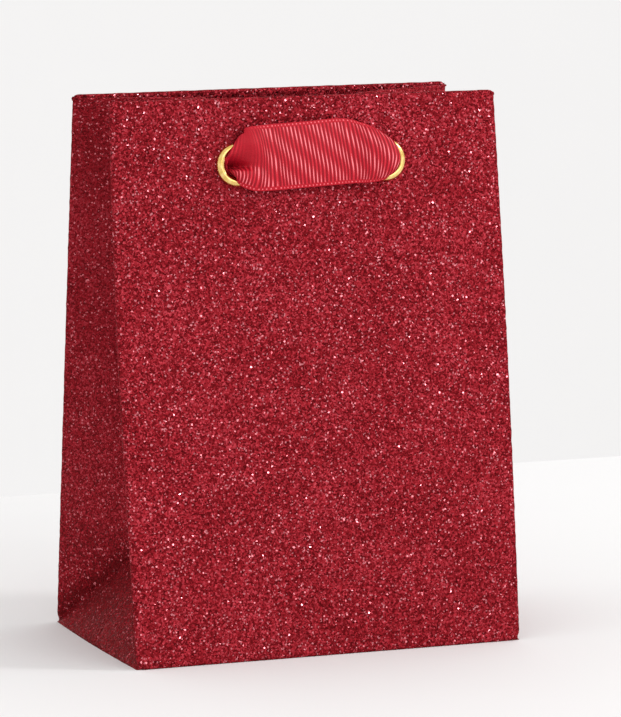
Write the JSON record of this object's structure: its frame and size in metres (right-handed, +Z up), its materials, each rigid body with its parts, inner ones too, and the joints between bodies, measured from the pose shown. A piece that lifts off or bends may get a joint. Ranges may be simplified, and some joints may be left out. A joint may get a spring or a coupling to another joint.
{
  "type": "gift bag",
  "caption": "Small block-bottom paper gift bag with folded gussets, a turned hem and short ribbon handles through metal eyelets.",
  "frame": {"origin": "middle of the bag's bottom, on the surface it stands on", "axes": "+X runs across the front to the right, -Y points out of the front, +Z is up"},
  "size_m": [0.095, 0.063, 0.1289],
  "materials": {
    "glitter_paper": "red fine glitter paper",
    "grey_board": "unprinted grey board",
    "eyelet_brass": "polished brass plate",
    "grosgrain": "red ribbed grosgrain ribbon"
  },
  "bodies": {
    "base": {"bottom_flap_front": "glitter_paper", "bottom_flap_back": "glitter_paper", "tuck_flap_left": "glitter_paper", "tuck_flap_right": "glitter_paper", "base_board": "grey_board", "foot_fold_left": "glitter_paper", "foot_fold_right": "glitter_paper", "gusset_left_front": "glitter_paper", "gusset_left_back": "glitter_paper", "gusset_right_front": "glitter_paper", "gusset_right_back": "glitter_paper"},
    "front": {"front_panel": "glitter_paper", "front_hem_card": "grey_board", "front_eyelet_left": "eyelet_brass", "front_eyelet_right": "eyelet_brass", "front_washer_left": "eyelet_brass", "front_washer_right": "eyelet_brass"},
    "back": {"back_panel": "glitter_paper", "back_hem_card": "grey_board", "side_seam_flap": "glitter_paper", "back_eyelet_left": "eyelet_brass", "back_eyelet_right": "eyelet_brass", "back_washer_left": "eyelet_brass", "back_washer_right": "eyelet_brass"},
    "front_handle": {"front_ribbon": "grosgrain"},
    "back_handle": {"back_ribbon": "grosgrain"}
  },
  "joints": [
    {"name": "front_lean", "type": "hinge", "parent": "base", "child": "front", "pos_m": [0, -0.0315, 0], "axis": [-1, 0, 0], "range_deg": [-5, 3.5], "deforming": ["gusset_left_front", "gusset_right_front"]},
    {"name": "back_lean", "type": "hinge", "parent": "base", "child": "back", "pos_m": [0, 0.0315, 0], "axis": [1, 0, 0], "range_deg": [-5, 3.5], "deforming": ["gusset_left_back", "gusset_right_back"]},
    {"name": "front_handle_pull", "type": "slide", "parent": "front", "child": "front_handle", "axis": [0, -0.9921, 0.1258], "range_m": [0, 0.002]},
    {"name": "back_handle_pull", "type": "slide", "parent": "back", "child": "back_handle", "axis": [0, 0.9921, 0.1258], "range_m": [0, 0.002]}
  ]
}
